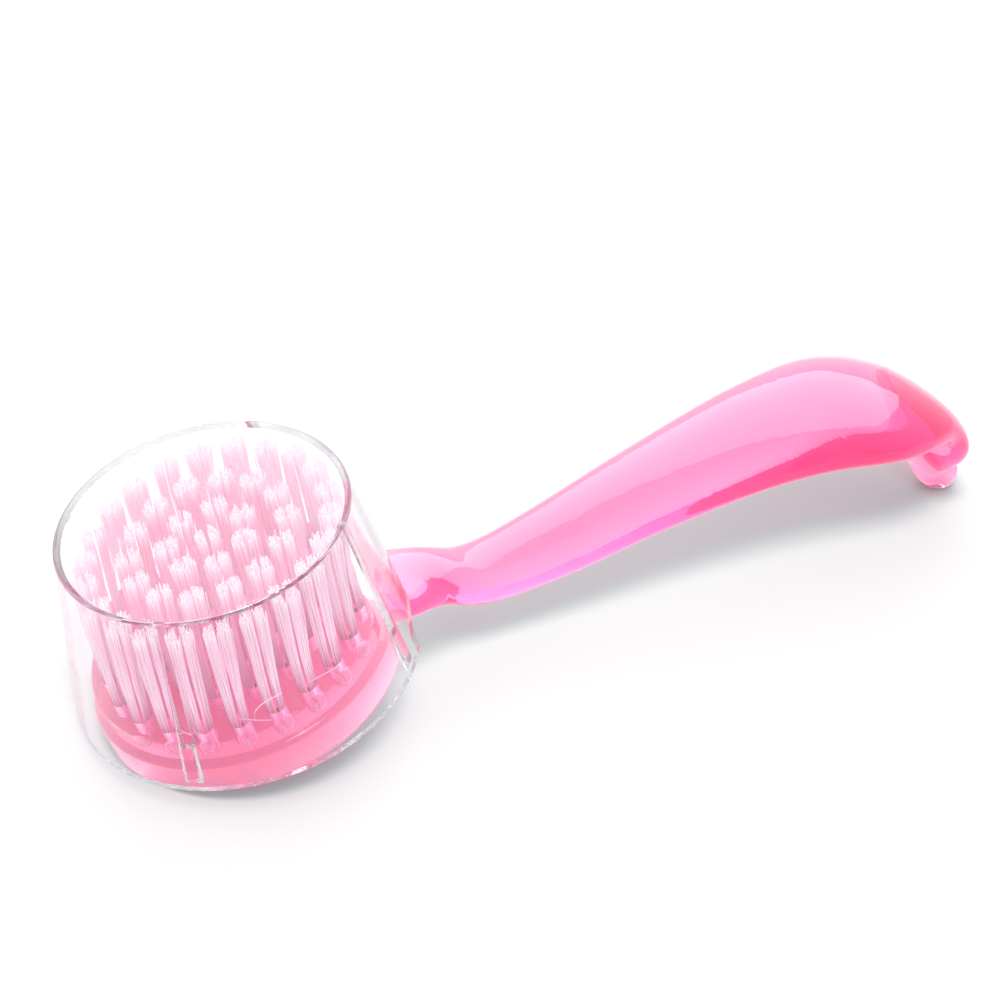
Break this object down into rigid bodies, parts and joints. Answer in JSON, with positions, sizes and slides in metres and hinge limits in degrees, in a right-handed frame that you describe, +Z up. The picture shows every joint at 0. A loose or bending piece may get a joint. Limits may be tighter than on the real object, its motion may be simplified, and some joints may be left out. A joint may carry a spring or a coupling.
{
  "type": "nail dust brush",
  "caption": "Round tufted nail brush with a broad curved handle moulded in one with its head, and a clear finned dust cap that lifts off the bristles.",
  "frame": {"origin": "Centre of the bounding box in plan, on the table the brush rests on.", "axes": "+X from the head along the handle to its hooked tip, +Z up from the table, +Y across the brush."},
  "size_m": [0.1604, 0.052, 0.0421],
  "materials": {
    "pink_acrylic": "clear pink moulded plastic, polished",
    "clear_plastic": "colourless clear moulded plastic",
    "nylon_bristle": "fine soft nylon filaments, translucent white",
    "anchor_metal": "plain flat metal wire, cut ends"
  },
  "bodies": {
    "brush": {"brush_body": "pink_acrylic", "tuft_1_01": "nylon_bristle", "tuft_1_02": "nylon_bristle", "tuft_1_03": "nylon_bristle", "tuft_1_04": "nylon_bristle", "tuft_1_05": "nylon_bristle", "tuft_1_06": "nylon_bristle", "tuft_1_07": "nylon_bristle", "tuft_1_08": "nylon_bristle", "tuft_1_09": "nylon_bristle", "tuft_1_10": "nylon_bristle", "tuft_1_11": "nylon_bristle", "tuft_1_12": "nylon_bristle", "tuft_1_13": "nylon_bristle", "tuft_1_14": "nylon_bristle", "tuft_1_15": "nylon_bristle", "tuft_1_16": "nylon_bristle", "tuft_1_17": "nylon_bristle", "tuft_1_18": "nylon_bristle", "tuft_1_19": "nylon_bristle", "tuft_1_20": "nylon_bristle", "tuft_1_21": "nylon_bristle", "tuft_1_22": "nylon_bristle", "tuft_2_01": "nylon_bristle", "tuft_2_02": "nylon_bristle", "tuft_2_03": "nylon_bristle", "tuft_2_04": "nylon_bristle", "tuft_2_05": "nylon_bristle", "tuft_2_06": "nylon_bristle", "tuft_2_07": "nylon_bristle", "tuft_2_08": "nylon_bristle", "tuft_2_09": "nylon_bristle", "tuft_2_10": "nylon_bristle", "tuft_2_11": "nylon_bristle", "tuft_2_12": "nylon_bristle", "tuft_2_13": "nylon_bristle", "tuft_2_14": "nylon_bristle", "tuft_3_01": "nylon_bristle", "tuft_3_02": "nylon_bristle", "tuft_3_03": "nylon_bristle", "tuft_3_04": "nylon_bristle", "tuft_3_05": "nylon_bristle", "tuft_3_06": "nylon_bristle", "tuft_3_07": "nylon_bristle", "tuft_4_01": "nylon_bristle", "anchors_ring_1": "anchor_metal", "anchors_ring_2": "anchor_metal", "anchors_ring_3": "anchor_metal", "anchors_ring_4": "anchor_metal"},
    "cap": {"dust_cap": "clear_plastic"}
  },
  "joints": [
    {"name": "cap_lift", "type": "slide", "parent": "brush", "child": "cap", "axis": [-0.2345, 0, 0.9721], "range_m": [0, 0.035]}
  ]
}
